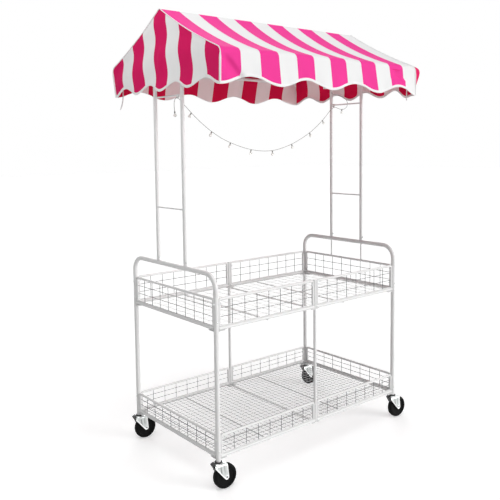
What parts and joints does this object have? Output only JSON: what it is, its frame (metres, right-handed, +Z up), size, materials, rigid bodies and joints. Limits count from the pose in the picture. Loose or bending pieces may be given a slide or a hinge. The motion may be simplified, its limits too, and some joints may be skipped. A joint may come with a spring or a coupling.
{
  "type": "vending cart",
  "caption": "Market vending cart with wire-basket shelves between bent-tube end frames on swivel casters, under a striped gable canopy with a light string.",
  "frame": {"origin": "on the floor, midway between the four legs", "axes": "+X along the cart from the left end to the right end, +Y from front to back, +Z up"},
  "size_m": [1.1833, 0.79, 1.885],
  "materials": {
    "white_powder_coat": "gloss",
    "canopy_cloth": "pink and white striped, woven",
    "zinc_plate": "bright zinc",
    "zinc_bolt": "bright zinc",
    "wheel_rubber": "matte",
    "black_plastic": "matte",
    "cord_sleeve": "matte",
    "bulb_glass": "frosted",
    "battery_case": "matte"
  },
  "bodies": {
    "cart": {"back_center_upright": "white_powder_coat", "back_eave_bar": "white_powder_coat", "back_left_caster_stem": "black_plastic", "back_right_caster_stem": "black_plastic", "battery_box": "battery_case", "canopy_roof": "canopy_cloth", "front_center_upright": "white_powder_coat", "front_eave_bar": "white_powder_coat", "front_left_caster_stem": "black_plastic", "front_right_caster_stem": "black_plastic", "left_back_rafter": "white_powder_coat", "left_end_frame": "white_powder_coat", "left_front_rafter": "white_powder_coat", "left_gable_cloth": "canopy_cloth", "left_ladder": "white_powder_coat", "light_bulbs": "bulb_glass", "light_clips": "cord_sleeve", "light_cord": "cord_sleeve", "light_sockets": "black_plastic", "lower_back_left_panel": "white_powder_coat", "lower_back_right_panel": "white_powder_coat", "lower_front_left_panel": "white_powder_coat", "lower_front_right_panel": "white_powder_coat", "lower_left_panel": "white_powder_coat", "lower_right_panel": "white_powder_coat", "lower_shelf_floor": "white_powder_coat", "post_screws": "zinc_bolt", "ridge_bar": "white_powder_coat", "right_back_rafter": "white_powder_coat", "right_end_frame": "white_powder_coat", "right_front_rafter": "white_powder_coat", "right_gable_cloth": "canopy_cloth", "right_ladder": "white_powder_coat", "shelf_brackets": "white_powder_coat", "shelf_fasteners": "zinc_bolt", "upper_back_left_panel": "white_powder_coat", "upper_back_right_panel": "white_powder_coat", "upper_front_left_panel": "white_powder_coat", "upper_front_right_panel": "white_powder_coat", "upper_left_panel": "white_powder_coat", "upper_right_panel": "white_powder_coat", "upper_shelf_floor": "white_powder_coat"},
    "front_left_caster_swivel": {"front_left_caster_fork": "zinc_plate", "front_left_caster_axle": "zinc_bolt"},
    "front_left_caster_roller": {"front_left_caster_wheel": "wheel_rubber"},
    "front_left_caster_brake": {"front_left_caster_brake_pedal": "black_plastic"},
    "front_right_caster_swivel": {"front_right_caster_fork": "zinc_plate", "front_right_caster_axle": "zinc_bolt"},
    "front_right_caster_roller": {"front_right_caster_wheel": "wheel_rubber"},
    "front_right_caster_brake": {"front_right_caster_brake_pedal": "black_plastic"},
    "back_left_caster_swivel": {"back_left_caster_fork": "zinc_plate", "back_left_caster_axle": "zinc_bolt"},
    "back_left_caster_roller": {"back_left_caster_wheel": "wheel_rubber"},
    "back_left_caster_brake": {"back_left_caster_brake_pedal": "black_plastic"},
    "back_right_caster_swivel": {"back_right_caster_fork": "zinc_plate", "back_right_caster_axle": "zinc_bolt"},
    "back_right_caster_roller": {"back_right_caster_wheel": "wheel_rubber"},
    "back_right_caster_brake": {"back_right_caster_brake_pedal": "black_plastic"},
    "light_switch_slider": {"light_switch": "black_plastic"}
  },
  "joints": [
    {"name": "front_left_caster_turn", "type": "hinge", "parent": "cart", "child": "front_left_caster_swivel", "pos_m": [-0.535, -0.3, 0.109], "axis": [0, 0, 1], "continuous": true},
    {"name": "front_left_caster_roll", "type": "hinge", "parent": "front_left_caster_swivel", "child": "front_left_caster_roller", "pos_m": [-0.50715, -0.30293, 0.05], "axis": [0.1045, 0.9945, 0], "continuous": true},
    {"name": "front_left_caster_brake_press", "type": "hinge", "parent": "front_left_caster_swivel", "child": "front_left_caster_brake", "pos_m": [-0.5529, -0.29812, 0.0935], "axis": [-0.1045, -0.9945, 0], "range_deg": [0, 25]},
    {"name": "front_right_caster_turn", "type": "hinge", "parent": "cart", "child": "front_right_caster_swivel", "pos_m": [0.535, -0.3, 0.109], "axis": [0, 0, 1], "continuous": true},
    {"name": "front_right_caster_roll", "type": "hinge", "parent": "front_right_caster_swivel", "child": "front_right_caster_roller", "pos_m": [0.56285, -0.30293, 0.05], "axis": [0.1045, 0.9945, 0], "continuous": true},
    {"name": "front_right_caster_brake_press", "type": "hinge", "parent": "front_right_caster_swivel", "child": "front_right_caster_brake", "pos_m": [0.5171, -0.29812, 0.0935], "axis": [-0.1045, -0.9945, 0], "range_deg": [0, 25]},
    {"name": "back_left_caster_turn", "type": "hinge", "parent": "cart", "child": "back_left_caster_swivel", "pos_m": [-0.535, 0.3, 0.109], "axis": [0, 0, 1], "continuous": true},
    {"name": "back_left_caster_roll", "type": "hinge", "parent": "back_left_caster_swivel", "child": "back_left_caster_roller", "pos_m": [-0.50715, 0.29707, 0.05], "axis": [0.1045, 0.9945, 0], "continuous": true},
    {"name": "back_left_caster_brake_press", "type": "hinge", "parent": "back_left_caster_swivel", "child": "back_left_caster_brake", "pos_m": [-0.5529, 0.30188, 0.0935], "axis": [-0.1045, -0.9945, 0], "range_deg": [0, 25]},
    {"name": "back_right_caster_turn", "type": "hinge", "parent": "cart", "child": "back_right_caster_swivel", "pos_m": [0.535, 0.3, 0.109], "axis": [0, 0, 1], "continuous": true},
    {"name": "back_right_caster_roll", "type": "hinge", "parent": "back_right_caster_swivel", "child": "back_right_caster_roller", "pos_m": [0.56285, 0.29707, 0.05], "axis": [0.1045, 0.9945, 0], "continuous": true},
    {"name": "back_right_caster_brake_press", "type": "hinge", "parent": "back_right_caster_swivel", "child": "back_right_caster_brake", "pos_m": [0.5171, 0.30188, 0.0935], "axis": [-0.1045, -0.9945, 0], "range_deg": [0, 25]},
    {"name": "light_switch_slide", "type": "slide", "parent": "cart", "child": "light_switch_slider", "axis": [0, 0, 1], "range_m": [0, 0.005]}
  ]
}
